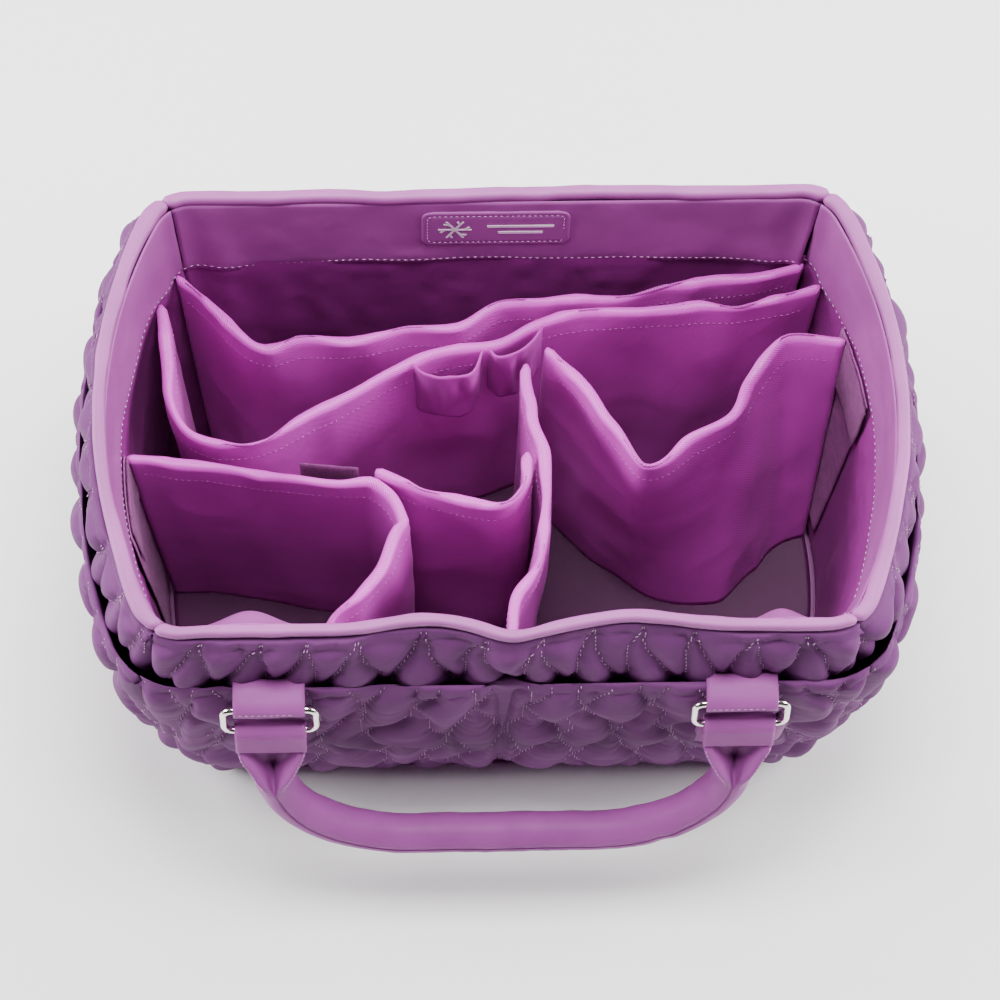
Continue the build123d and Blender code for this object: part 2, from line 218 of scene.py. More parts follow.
def insideWall(x, y, level, reach):
    # how far inside the outline a point lies: the least of its distances to bow, face and corner arc
    depth, small, big, bigX, cornerX, cornerY = outlineArcs(level, reach)
    x, y = np.abs(x), np.abs(y)
    away = np.minimum(big - np.hypot(x - bigX, y), depth - y)
    return np.where((x > cornerX) & (y > cornerY), small - np.hypot(x - cornerX, y - cornerY), away)


def halfWidth(side, level, reach):
    # half the run between two seams, in mm, from a fine walk along the outline
    p, _ = wallPoint(side, np.linspace(-1, 1, 400), level, reach)
    return np.linalg.norm(np.diff(p, axis=0), axis=1).sum() / 2


def plug(shader, socket, value):
    if isinstance(value, Wire):
        value.tree.links.new(value.socket, shader.inputs[socket])
    else:
        shader.inputs[socket].default_value = value


class Wire:
    # one socket in a material; operators on it add the node that does the sum
    def __init__(self, tree, socket):
        self.tree, self.socket = tree, socket

    def node(self, kind, settings=None, out=0, **inputs):
        # settings first, then values or links for its sockets; out is the output to go on from
        made = self.tree.nodes.new(kind)
        for key, value in (settings or {}).items():
            if key == "stops":
                ramp = made.color_ramp
                while len(ramp.elements) < len(value):
                    ramp.elements.new(0.5)
                for stop, (place, colour) in zip(ramp.elements, value):
                    stop.position, stop.color = place, colour
            else:
                setattr(made, key, value)
        for key, value in inputs.items():
            plug(made, int(key[1:]) if key[1:].isdigit() else key, value)      # i0, i1: sockets by number
        return Wire(self.tree, made.outputs[out])

    def sum(self, operation, a, b=0.0):
        return self.node("ShaderNodeMath", {"operation": operation}, i0=a, i1=b)

    def __add__(self, other): return self.sum("ADD", self, other)
    def __radd__(self, other): return self.sum("ADD", other, self)
    def __sub__(self, other): return self.sum("SUBTRACT", self, other)
    def __rsub__(self, other): return self.sum("SUBTRACT", other, self)
    def __mul__(self, other): return self.sum("MULTIPLY", self, other)
    def __rmul__(self, other): return self.sum("MULTIPLY", other, self)
    def sin(self): return self.sum("SINE", self)
    def abs(self): return self.sum("ABSOLUTE", self)

    def step(self, low, high):
        # 0 at low, 1 at high, smooth between
        return self.node("ShaderNodeMapRange", {"interpolation_type": "SMOOTHSTEP"}, i0=self, i1=low, i2=high)

    def blend(self, first, second):
        # colours first and second, mixed by this socket
        return self.node("ShaderNodeMix", {"data_type": "RGBA"}, out=2, i0=self, i6=first, i7=second)


def startMaterial(name):
    material = bpy.data.materials.new(name)
    material.use_nodes = True
    tree = material.node_tree
    tree.nodes.clear()
    shader = tree.nodes.new("ShaderNodeBsdfPrincipled")
    output = tree.nodes.new("ShaderNodeOutputMaterial")
    tree.links.new(shader.outputs[0], output.inputs[0])
    where = tree.nodes.new("ShaderNodeTexCoord")
    return material, shader, Wire(tree, where.outputs["Object"]), Wire(tree, where.outputs["UV"])


def noise(wire, scale, detail=3.0, rough=0.55):
    return wire.node("ShaderNodeTexNoise", {}, Vector=wire, Scale=scale, Detail=detail, Roughness=rough)


def bump(height, distance, strength, under=None):
    below = dict(Normal=under) if under else {}
    return height.node("ShaderNodeBump", {}, Height=height, Distance=distance, Strength=strength, **below)


def shade(colour, factor):
    # the colour times a factor, opaque
    return (colour[0] * factor, colour[1] * factor, colour[2] * factor, 1)


def makeLeather(name, colour, grain=1.0, rough=0.46, pucker=0.0, gloss=0.3):
    # soft coated leather: pebble grain, faint creases, slow colour drift; pucker adds the fine level
    # wrinkles of cloth that is gathered into its seams
    material, shader, place, _ = startMaterial(name)
    drift = noise(place, 22, 4)
    fine = noise(place, 420, 3)
    plug(shader, "Base Color", drift.step(0.3, 0.7).blend(shade(colour, 0.90), shade(colour, 1.08)))
    plug(shader, "Roughness", rough - 0.05 + noise(place, 60, 3) * 0.12)
    pebble = place.node("ShaderNodeTexVoronoi", {"feature": "SMOOTH_F1"}, Vector=place, Scale=1500.0)
    crease = noise(place, 110, 5, 0.65)
    first = bump(pebble + fine * 0.8, 0.00012 * grain, 0.55)
    second = bump(crease, 0.0007 * grain, 0.35, first)
    if pucker:
        level = place.node("ShaderNodeVectorMath", {"operation": "MULTIPLY"}, i0=place, i1=(0.32, 0.32, 1.0))
        wrinkle = noise(level, 85, 2, 0.5) - 0.5
        ridge = wrinkle.abs() * 1.4 + noise(level, 45, 2) * 0.8
        second = bump(ridge, 0.0016 * pucker, 0.55, second)
    plug(shader, "Normal", second)
    shader.inputs["Specular IOR Level"].default_value = gloss
    return material


def makeTwill(name, colour, pitch=0.95, rough=0.40, sheen=0.04, gloss=0.22):
    # satin twill: diagonal ribs crossed by threads, read from the cloth's own millimetres
    material, shader, place, uv = startMaterial(name)
    across = uv.node("ShaderNodeSeparateXYZ", {}, Vector=uv)
    down = uv.node("ShaderNodeSeparateXYZ", {}, out=1, Vector=uv)
    rib = ((across + down) * (2 * math.pi / pitch)).sin() * 0.5 + 0.5
    thread = ((across - down * 0.4) * (2 * math.pi / (pitch * 0.62))).sin() * 0.5 + 0.5
    weave = rib * 0.75 + thread * 0.25
    drift = noise(place, 18, 4)
    dark, light = shade(colour, 0.72), shade(colour, 1.28)
    plug(shader, "Base Color", (weave * 0.6 + drift * 0.4).step(0.15, 0.85).blend(dark, light))
    plug(shader, "Roughness", rough + weave * 0.10)
    first = bump(weave, 0.00016, 0.6)
    plug(shader, "Normal", bump(noise(place, 70, 4, 0.6), 0.0010, 0.35, first))
    shader.inputs["Sheen Weight"].default_value = sheen
    shader.inputs["Sheen Roughness"].default_value = 0.35
    shader.inputs["Sheen Tint"].default_value = (1.0, 0.45, 0.92, 1)
    shader.inputs["Specular IOR Level"].default_value = gloss
    return material


def makeFuzz(name, colour, scale=900.0):
    # brushed tape: tangled short fibres
    material, shader, place, _ = startMaterial(name)
    fibre = noise(place, scale, 6, 0.75)
    clump = noise(place, 160, 4, 0.7)
    mixed = (fibre * 0.6 + clump * 0.4).step(0.3, 0.7)
    plug(shader, "Base Color", mixed.blend(shade(colour, 0.55), shade(colour, 1.6)))
    plug(shader, "Roughness", 0.9)
    plug(shader, "Normal", bump(fibre + clump, 0.0009, 0.8))
    shader.inputs["Sheen Weight"].default_value = 0.15
    shader.inputs["Sheen Tint"].default_value = (1.0, 0.6, 0.95, 1)
    return material


def makeMetal(name, colour, metallic=1.0):
    # polished plating with fine brushing and a few dull spots
    material, shader, place, _ = startMaterial(name)
    wear = noise(place, 240, 4)
    plug(shader, "Base Color", wear.step(0.35, 0.75).blend(shade(colour, 1), shade(colour, 0.88)))
    plug(shader, "Metallic", metallic)
    plug(shader, "Roughness", 0.14 + noise(place, 520, 3) * 0.12)
    plug(shader, "Normal", bump(noise(place, 900, 2), 0.00003, 0.4))
    return material


def makeThread(name, colour):
    # twisted sewing thread
    material, shader, place, _ = startMaterial(name)
    twist = noise(place, 2400, 2)
    plug(shader, "Base Color", twist.step(0.3, 0.7).blend(shade(colour, 0.75), shade(colour, 1.15)))
    plug(shader, "Roughness", 0.5)
    plug(shader, "Normal", bump(twist, 0.0001, 0.5))
    return material


# painted light and shade: the quilt, lining and floor colours are darkened as painted shade, and the divider
# colour is brightened as painted light
colours = dict(quilt=(0.13, 0.036, 0.135), strap=(0.27, 0.060, 0.255), rim=(0.34, 0.085, 0.31),
               facing=(0.30, 0.065, 0.275), base=(0.20, 0.05, 0.18), lining=(0.20, 0.016, 0.172),
               floor=(0.055, 0.004, 0.046), divider=(0.57, 0.055, 0.50), elastic=(0.40, 0.04, 0.35),
               hook=(0.12, 0.016, 0.10), loop=(0.22, 0.04, 0.19), metal=(0.80, 0.77, 0.73),
               foil=(0.86, 0.85, 0.86), thread=(0.52, 0.27, 0.50), hemThread=(0.42, 0.10, 0.38))
# painted shade: the quilted leather is set far darker than the rim and facing leather, to stand in for the shade
# over the bag's front and pockets
quiltLeatherPaintedShade = makeLeather("quilt leather", colours["quilt"], 1.0, 0.58, pucker=0.7, gloss=0.06)
strapLeather = makeLeather("strap leather", colours["strap"], 0.8, 0.48, gloss=0.12)
rimLeather = makeLeather("rim leather", colours["rim"], 0.7)
facingLeather = makeLeather("facing leather", colours["facing"], 0.8, 0.48)
baseLeather = makeLeather("base leather", colours["base"], 1.2, 0.6)
# painted shade: the lining twill is set darker than the partitions' twill, to stand in for the shade on the inner
# walls
liningTwillPaintedShade = makeTwill("lining twill", colours["lining"])
# painted shade: the floor twill is set near black, to stand in for the deep shade at the bottom of the inside
floorTwillPaintedShade = makeTwill("floor twill", colours["floor"])
# painted light: the partitions' twill is set far brighter than the lining's, and that extra brightness stands in
# for the light and glow on the partition faces
dividerTwillPaintedLight = makeTwill("divider twill", colours["divider"], 1.5, 0.34, 0.12, 0.4)
elasticWeave = makeTwill("elastic weave", colours["elastic"], 0.8, 0.55, 0.2, 0.0)
hookTape = makeFuzz("hook tape", colours["hook"])
loopTape = makeFuzz("loop tape", colours["loop"], 1300.0)
ringMetal = makeMetal("pale nickel", colours["metal"])
foil = makeMetal("pressed foil", colours["foil"], 0.35)
thread = makeThread("lilac thread", colours["thread"])
dividerThread = makeThread("partition thread", colours["hemThread"])
print("materials made")


def addStitches(name, centres, along, normals, body="bag", length=2.5, width=0.55, material=None):
    # a stitch is a flattened six-cornered spindle: two pointed ends and a lozenge in its middle
    along = along / (np.linalg.norm(along, axis=1, keepdims=True) + 1e-9)
    normals = normals - along * (normals * along).sum(1, keepdims=True)
    normals = normals / (np.linalg.norm(normals, axis=1, keepdims=True) + 1e-9)
    across = np.cross(along, normals)
    shape = np.array([(-0.5, 0, -0.2), (-0.28, 0.5, 0.2), (-0.28, -0.5, 0.2), (0.28, 0.5, 0.2), (0.28, -0.5, 0.2),
                      (0.5, 0, -0.2), (0, 0, 0.75), (0, 0, -0.5)])
    p = (centres[:, None] + shape[None, :, 0:1] * length * along[:, None]
         + shape[None, :, 1:2] * width * across[:, None] + shape[None, :, 2:3] * width * normals[:, None])
    tris = np.array([(0, 2, 6), (0, 6, 1), (1, 6, 3), (2, 4, 6), (6, 4, 5), (6, 5, 3), (0, 1, 7), (0, 7, 2),
                     (1, 3, 7), (2, 7, 4), (7, 5, 4), (7, 3, 5)])
    faces = (tris[None] + 8 * np.arange(len(centres))[:, None, None]).reshape(-1, 3)
    return addPiece(name, p.reshape(-1, 3), [faces], material or thread, body)


def stitchPath(name, path, pitch, outward, body="bag", length=2.2, width=0.45, lift=0.0, material=None):
    # stitches at even places along a path. outward is a direction, or 1 or -1 for level and to one side
    run = runAlong(path)
    places = np.arange(0.0, run[-1] - pitch / 2, pitch)
    centre, after, before = (pointsAt(path, run, places + shift * pitch) for shift in (0, 0.3, -0.3))
    along = after - before
    if np.ndim(outward) == 0:
        outward = np.cross(along, np.array([0.0, 0, 1.0])) * outward
        outward /= np.linalg.norm(outward, axis=1, keepdims=True)
    outward = np.broadcast_to(outward, centre.shape)
    addStitches(name, centre + outward * lift, along, outward, body, length, width, material)


def relaxCloth(p, free, restAcross, restUp, steps, push, ease=0.07):
    # every link of the grid is eased towards its cut length in turn, then the cloth is pushed along
    # its own normals and its bends are eased, until the spare cloth stands up in puffs and puckers
    restCorner = math.hypot(restAcross, restUp)

    def link(a, b, freeA, freeB, rest, pull):
        # both ends move along their gap by the pull's share of what it is too long
        gap = b - a
        length = np.sqrt((gap * gap).sum(-1, keepdims=True)) + 1e-9
        gap *= pull * (length - rest) / length
        a += gap * freeA
        b -= gap * freeB

    rows, cols = p.shape[:2]
    for step in range(steps):
        across, up = np.zeros_like(p), np.zeros_like(p)
        across[:, 1:-1], up[1:-1] = p[:, 2:] - p[:, :-2], p[2:] - p[:-2]
        normal = np.cross(across, up)
        normal /= np.sqrt((normal * normal).sum(-1, keepdims=True)) + 1e-9
        p += normal * push * free * (1 - step / steps)
        for odd in (0, 1):
            c = (cols - odd) // 2 * 2
            r = (rows - odd) // 2 * 2
            a, b = slice(odd, odd + c, 2), slice(odd + 1, odd + c, 2)
            link(p[:, a], p[:, b], free[:, a], free[:, b], restAcross, 0.5)
            link(p[:-1, a], p[1:, b], free[:-1, a], free[1:, b], restCorner, 0.2)
            link(p[1:, a], p[:-1, b], free[1:, a], free[:-1, b], restCorner, 0.2)
            a, b = slice(odd, odd + r, 2), slice(odd + 1, odd + r, 2)
            link(p[a], p[b], free[a], free[b], restUp, 0.5)
        around = (p[2:, 1:-1] + p[:-2, 1:-1] + p[1:-1, 2:] + p[1:-1, :-2]) / 4
        p[1:-1, 1:-1] += ease * free[1:-1, 1:-1] * (around - p[1:-1, 1:-1])
        p[..., 2] = np.maximum(p[..., 2], -0.8)
    return p


quilt = dict(cell=1.6, diamond=29.0, diamondHeight=118.0, spareAcross=1.085, spareUp=1.03, push=0.12, steps=140,
             highest=9.5, lineDepth=1.2, lineDrift=1.3, stitchPitch=3.6, stitchLift=0.35, backStep=4)


def quiltedPanel(name, side, low, high, base, seed, hidden, hem, replaces, spare=1.0, pressed=None,
                 middleSeam=False):
    # Cloth cut larger than its place, held at the stitch lines and blown up. low, high: the panel's
    # levels. base: the layer that it is held down to. hidden: levels of the flat part below low. hem:
    # the flat strip under the top edge. pressed: x, level, half sizes and the height that the puffs are
    # held to under a patch.
    width, tall = 2 * halfWidth(side, (low + high) / 2, 14), high - low
    step = quilt["backStep"]
    cols = int(width / quilt["cell"]) // step * step + 1
    rows = int(tall / quilt["cell"]) // step * step + 1
    x = np.linspace(-width / 2, width / 2, cols)[None, :] + np.zeros((rows, 1))
    up = np.linspace(0, tall, rows)[:, None] + np.zeros((1, cols))
    cellX, cellUp = width / (cols - 1), tall / (rows - 1)
    warp = 6.5 * smoothNoise(seed, rows, cols, 26, 34) + 2.0 * smoothNoise(seed + 1, rows, cols, 12, 12)
    lean = quilt["diamond"] / quilt["diamondHeight"]
    phases = [(x + warp + turn * up * lean) / quilt["diamond"] for turn in (1, -1)]
    held = np.zeros((rows, cols), bool)
    for phase in phases:
        held |= np.abs(phase - np.round(phase)) * quilt["diamond"] < cellX * 0.55
    held[0] = held[-1] = True
    held[:, 0] = held[:, -1] = True
    depth = quilt["lineDepth"] + quilt["lineDrift"] * smoothNoise(seed + 2, rows, cols, 14, 9)
    depth += 1.6 * np.sin(np.pi * up / tall)
    edge = np.minimum(np.minimum(up, tall - up) / 7, np.minimum(x + width / 2, width / 2 - x) / 6).clip(0, 1)
    p = np.stack([x, up, 1.2 + 0.8 * smoothNoise(seed + 3, rows, cols, 3, 12)], -1)
    p[held, 2] = (depth * edge)[held]
    if hem:
        crease = rows - 1 - int(round(hem / cellUp))
        held[crease, :] = True
        p[crease, :, 2] = 2.2 + 0.9 * smoothNoise(seed + 4, 1, cols, 1, 5)[0]
    p = relaxCloth(p, (~held).astype(float)[..., None], cellX * (1 + (quilt["spareAcross"] - 1) * spare),
                   cellUp * quilt["spareUp"], quilt["steps"], quilt["push"] * spare)
    p[..., 2] = np.minimum(p[..., 2], quilt["highest"])
    if pressed:
        px, pz, pw, ph, limit = pressed
        under = easeStep(np.maximum(np.abs(p[..., 0] - px) - pw, np.abs(low + p[..., 1] - pz) - ph), 5, 0)
        p[..., 2] += (np.minimum(p[..., 2], limit) - p[..., 2]) * under
    level = low + p[..., 1]
    share = p[..., 0] / (width / 2)
    # the free top edge wavers; a pocket sewn down its middle is drawn in along that seam
    waver = 1.1 * smoothNoise(seed + 5, 1, cols, 1, 15) + 0.35 * smoothNoise(seed + 6, 1, cols, 1, 5)
    under = reachAt(base, level) + 0.6 + easeStep(level, high - 26, high) * waver
    if middleSeam:
        under = under - hump(p[..., 0], 0, 8) * 7.5 * easeStep(level, 90, high)
        p[..., 2] *= 1 - 0.8 * hump(p[..., 0], 0, 3.5)
    front, outward = wallPoint(side, share, level, under + p[..., 2])
    if len(hidden):
        flatShare = np.linspace(-1, 1, cols)[None, :]
        flatLevel = np.asarray(hidden, float)[:, None]
        flat, _ = wallPoint(side, flatShare, flatLevel, reachAt("skin", flatLevel) - 0.4)
        front = np.vstack([flat, front])
    backLevel = front[::step, 0, 2][:, None] + 0 * front[::step, ::step, 2]
    backLevel = np.clip(backLevel, hidden[0] if len(hidden) else low, high)
    inside = reachAt("wadding", backLevel) - 2.5 if len(hidden) else reachAt("pocketInside", backLevel) - 0.2
    back, _ = wallPoint(side, np.linspace(-0.997, 0.997, (cols - 1) // step + 1)[None, :], backLevel, inside)
    points = np.vstack([front.reshape(-1, 3), back.reshape(-1, 3)])
    piece = addPiece(name, points, paddedFaces(len(front), cols, step), quiltLeatherPaintedShade,
                     replaces=replaces)
    # stitches follow the held lines over the puffed surface
    offset = len(hidden)
    centre, along, normals = [], [], []
    faceNormal = gridNormal(front)
    for phase in phases:
        away = np.abs(phase - np.round(phase))
        r = np.arange(2, rows - 2, max(int(round(quilt["stitchPitch"] / cellUp)), 2))
        where, col = np.nonzero(np.diff(np.round(phase[r] - 0.5), axis=1) != 0)
        col = np.clip(col + 1, 2, cols - 3)
        r = r[where]
        col = np.where(away[r, col - 1] < away[r, col], col - 1, col)
        shift = (phase[r - 1, col] - phase[r + 1, col]) * quilt["diamond"] / cellX / 2
        before, after = (np.clip(np.round(col + turn * shift).astype(int), 0, cols - 1) for turn in (-1, 1))
        r = r + offset
        centre.append(front[r, col])
        along.append(front[r + 1, after] - front[r - 1, before])
        normals.append(faceNormal[r, col])
    centre, along, normals = (np.concatenate(v) for v in (centre, along, normals))
    addStitches(f"{name}_stitches", centre + normals * quilt["stitchLift"], along, normals)
    print("panel", name, len(front), "x", cols)


for number, side in enumerate(sides):
    quiltedPanel(f"{side}_quilted_band", side, 196, 255.5, "skin", 11 + 20 * number,
                 [3, 40, 80, 122, 160, 185], 6.5, (f"{side}_panel", f"{side}_wadding"), 1.25)
    quiltedPanel(f"{side}_quilted_pocket", side, 3, 212.0, "pocketInside", 17 + 20 * number, [], 7.5,
                 (f"{side}_pocket",), pressed=(123, 140, 22, 20, 6.0) if side == "front" else None,
                 middleSeam=side in ("front", "back"))
print("quilted panels done")


def addSlab(name, middle, thickness, material, body="bag", uv=None, replaces=(), soft=2):
    # a grid with a thickness: the front and back lie half of it either side, drawn together over the outer cells
    # along a quarter circle.
    rows, cols = middle.shape[:2]
    toEdge = np.minimum(np.minimum(np.arange(rows)[:, None], np.arange(rows)[::-1][:, None]),
                        np.minimum(np.arange(cols)[None, :], np.arange(cols)[::-1][None, :]))
    half = thickness / 2 * np.sqrt(1 - (1 - np.clip((toEdge + 0.35) / soft, 0, 1))**2)
    half = (half + np.zeros((rows, cols)))[..., None]
    outward = gridNormal(middle)
    points = np.vstack([(middle + outward * half).reshape(-1, 3), (middle - outward * half).reshape(-1, 3)])
    if uv is not None:
        uv = np.vstack([uv.reshape(-1, 2), uv.reshape(-1, 2)])
    piece = addPiece(name, points, paddedFaces(rows, cols, 1), material, body, uv, replaces)
    return piece


rim = dict(out=5.2, inner=1.3, low=255.0, high=262.0, wave=0.32, rows=16, colsPerMm=0.42)


def addRim(side, seed):
    # rolled piping over the wall's top edge, with a butt seam at each corner. Its section is a rounded
    # box: cosine across and sine up, the sine pulled towards the corners by a square root
    cols = int(2 * halfWidth(side, 258, 2) * rim["colsPerMm"])
    share = np.linspace(-1, 1, cols)[None, :]
    turn = np.linspace(0, 2 * np.pi, rim["rows"], endpoint=False)[:, None]
    drift = smoothNoise(seed, 1, cols, 1, 14) * 0.5 + smoothNoise(seed + 1, 1, cols, 1, 5) * 0.07
    middle, half = (rim["out"] - rim["inner"]) / 2, (rim["out"] + rim["inner"]) / 2
    middleZ, halfZ = (rim["low"] + rim["high"]) / 2, (rim["high"] - rim["low"]) / 2
    c, s = np.cos(turn), np.sin(turn)
    pinch = 1 - 0.35 * hump(np.abs(share), 1, 0.006)
    reach = drift + c * half * (1 + 0.04 * smoothNoise(seed + 2, 1, cols, 1, 5))
    level = np.sqrt(np.abs(s)) * np.sign(s) * halfZ + rim["wave"] * smoothNoise(seed + 3, 1, cols, 1, 9)
    grid, _ = wallPoint(side, share * 0.9995, middleZ + level * pinch, middle + reach * pinch)
    caps = np.arange(rim["rows"])[None, :]
    piece = addPiece(f"{side}_piping", grid.reshape(-1, 3),
                     [gridFaces(rim["rows"], cols, loopRows=True),
                      np.vstack([caps * cols, caps[:, ::-1] * cols + cols - 1])],
                     rimLeather, replaces=(f"{side}_rim",))


for number, side in enumerate(sides):
    addRim(side, 301 + 7 * number)
print("piping done")

inner = dict(cell=2.6, facingLow=196.5, facingHigh=256.0, liningLow=9.2, liningHigh=203.0, seam=3.4, corner=2.0,
             gather=11.0, gatherLevel=226, seamPitch=3.8)


def innerBulge(side, share, level, seed):
    # broad soft folds that swell between the rim's seam and the floor, deepest beside the front corners;
    # the gather is the spare lining bunched up at both ends of the front
    rows, cols = share.shape
    swell = np.sin(np.pi * np.clip((level - 60) / 195, 0, 1)) ** 0.8
    fold = np.maximum(smoothNoise(seed, rows, cols, 26, 22), -0.2) * 1.5
    corner = hump(np.abs(share), 0.88, 0.07) if side in ("front", "back") else hump(np.abs(share), 0.86, 0.08)
    corner = inner["corner"] * corner * (1 + 0.3 * smoothNoise(seed + 1, rows, cols, 9, 8))
    flat = 1 - (side == "back") * easeStep(np.abs(share), 0.36, 0.27) * easeStep(level, 205, 214)
    ends = hump(share, 0.74, 0.17) + hump(share, -0.75, 0.17)
    upDown = hump(level, inner["gatherLevel"], np.where(level > inner["gatherLevel"], 21, 60))
    lumps = 1 + 0.3 * smoothNoise(seed + 4, 1, cols, 1, 9)
    return swell * flat * (fold + corner), inner["gather"] * (side == "front") * ends * upDown * lumps


def addInner(side, seed):
    # the leather facing under the rim, and the lining that hangs below it, both inside the wall
    width = 2 * halfWidth(side, 200, -2)
    cols = int(width / inner["cell"]) + 1
    for name, low, high, material, slot in (
            ("facing", inner["facingLow"], inner["facingHigh"], facingLeather, "facing_leather"),
            ("lining", inner["liningLow"], inner["liningHigh"], liningTwillPaintedShade, "lining")):
        rows = int((high - low) / inner["cell"]) + 1
        share = np.linspace(-0.998, 0.998, cols)[None, :] + np.zeros((rows, 1))
        up = np.linspace(0, 1, rows)[:, None]
        wavy = 2.0 * smoothNoise(seed + 9, 1, cols, 1, 13) * (name == "facing")
        level = low + wavy + (high - low - wavy) * up
        depth, gather = innerBulge(side, share, level, seed)
        ripple = smoothNoise(seed + 2, rows, cols, 5, 4) * 0.35 + smoothNoise(seed + 3, rows, cols, 16, 6) * 0.6
        edge = np.clip(np.minimum(up * rows / 3, (1 - up) * rows / 3), 0, 1)
        if name == "facing":
            depth = depth + 1.1 + ripple * 0.35 * edge - 0.5 * hump(level, low + wavy + inner["seam"], 1.3)
        else:
            depth = 0.6 + (depth + np.maximum(ripple * edge, -0.4)) * easeStep(level, 203, 190)
        grid, outward = wallPoint(side, -share, level, -depth)      # negated, so that the grid faces the inside
        grid = grid - outward * gather[..., None]
        piece = addSlab(f"{side}_inner_{name}", grid, 1.1, material,
                        uv=np.stack([share * width / 2, level], -1), replaces=(f"{side}_{name}",))
        width * mm
        (high - low) * mm
        if name == "facing":
            path, outward = wallPoint(side, -share[0], low + wavy[0] + inner["seam"], -depth[1] - 0.75)
            stitchPath(f"{side}_topstitch", path - outward * gather[1][:, None], inner["seamPitch"], 1,
                       length=2.6, width=0.5)


for number, side in enumerate(sides):
    addInner(side, 401 + 17 * number)

# floor lining: a thin padded sheet with a few wrinkles, its ends bowed by a parabola and its corners cut
floorCloth = dict(rows=84, cols=140, halfDepth=98.0, halfLength=161.0, bow=25.0, cornerCut=16.0, level=8.1,
                  wrinkle=0.8)
rows, cols = floorCloth["rows"], floorCloth["cols"]
share = np.linspace(-1, 1, cols)[None, :] + np.zeros((rows, 1))
across = np.linspace(-1, 1, rows)[:, None] + np.zeros((1, cols))
halfLength = (floorCloth["halfLength"] + floorCloth["bow"] * (1 - across**2)
              - floorCloth["cornerCut"] * np.clip((np.abs(across) - 0.8) / 0.2, 0, 1)**2)
ripple = smoothNoise(77, rows, cols, 9, 12) * 0.5 + smoothNoise(78, rows, cols, 22, 26) * 0.6
ripple = np.clip(ripple, -floorCloth["wrinkle"], floorCloth["wrinkle"])
grid = joined(share * halfLength, across * floorCloth["halfDepth"], floorCloth["level"] + ripple)
addSlab("floor_cloth", grid, 1.6, floorTwillPaintedShade, uv=grid[..., :2], replaces=("floor_lining",))
print("facings and linings done")

# the routes are shares of the outline's half length and half depth at the dividers' top
divider = dict(thickness=6.0, top=198.0, floor=9.6, faceRows=46, softRows=8, soft=3.2, cell=2.6, gap=3.5,
               seamPitch=3.4)
routes = dict(
    back=[(-1.03, 0.96), (-0.88, 0.76), (-0.77, 0.58), (-0.61, 0.56), (-0.24, 0.64), (0.14, 0.78),
          (0.65, 0.88), (1.0, 0.96)],
    middle=[(-1.06, 0.84), (-1.035, 0.58), (-1.015, 0.29), (-0.955, 0.12), (-0.845, 0.075),
            (-0.705, 0.11), (-0.52, 0.27), (-0.255, 0.48), (-0.035, 0.57), (0.14, 0.675),
            (0.45, 0.735), (0.64, 0.72), (1.05, 0.84)],
    centre=[(0.09, 0.45), (0.116, 0.256), (0.127, 0.01), (0.127, -0.24), (0.087, -0.54),
            (0.035, -0.77), (0.012, -1.08)],
    box=[(-1.3, 0.017), (-0.861, -0.034), (-0.578, -0.111), (-0.4, -0.145), (-0.29, -0.325),
         (-0.347, -0.53), (-0.434, -0.684), (-0.526, -0.81), (-0.566, -1.08)],
    cross=[(-0.382, -0.077), (-0.3, -0.145), (-0.214, -0.205), (-0.012, -0.24), (0.069, -0.145),
           (0.088, -0.017), (0.09, 0.07)],
    veeTop=[(0.156, 0.53), (0.318, 0.205), (0.451, -0.051), (0.561, 0.0), (0.734, 0.248),
            (0.867, 0.513), (0.971, 0.57), (1.25, 0.52)],
    veeFloor=[(0.139, 0.496), (0.254, 0.274), (0.382, 0.085), (0.532, -0.068), (0.74, -0.12),
              (0.879, 0.051), (0.994, 0.2), (1.25, 0.3)])
folds = dict(box=(3, 4), veeTop=(2,), middle=(), back=(), centre=(), cross=(), veeFloor=())
topSizes = halfSizes(divider["top"])[:2]


def centreLine(key, level, upright):
    # the route's curve in millimetres at one level: (600, 2)
    curve, _ = curveThrough(np.array(routes[key]) * topSizes, 600, folds[key])
    return curve if upright else curve * (np.array(halfSizes(level)[:2]) / topSizes)


def dividerLine(name, level):
    # the vee changes from one route at the floor to another at its top; the two long ones lean out
    if name == "vee":
        share = level / divider["top"]
        return centreLine("veeFloor", 0, True) * (1 - share) + centreLine("veeTop", 0, True) * share
    return centreLine(name, level, name not in ("back", "middle"))


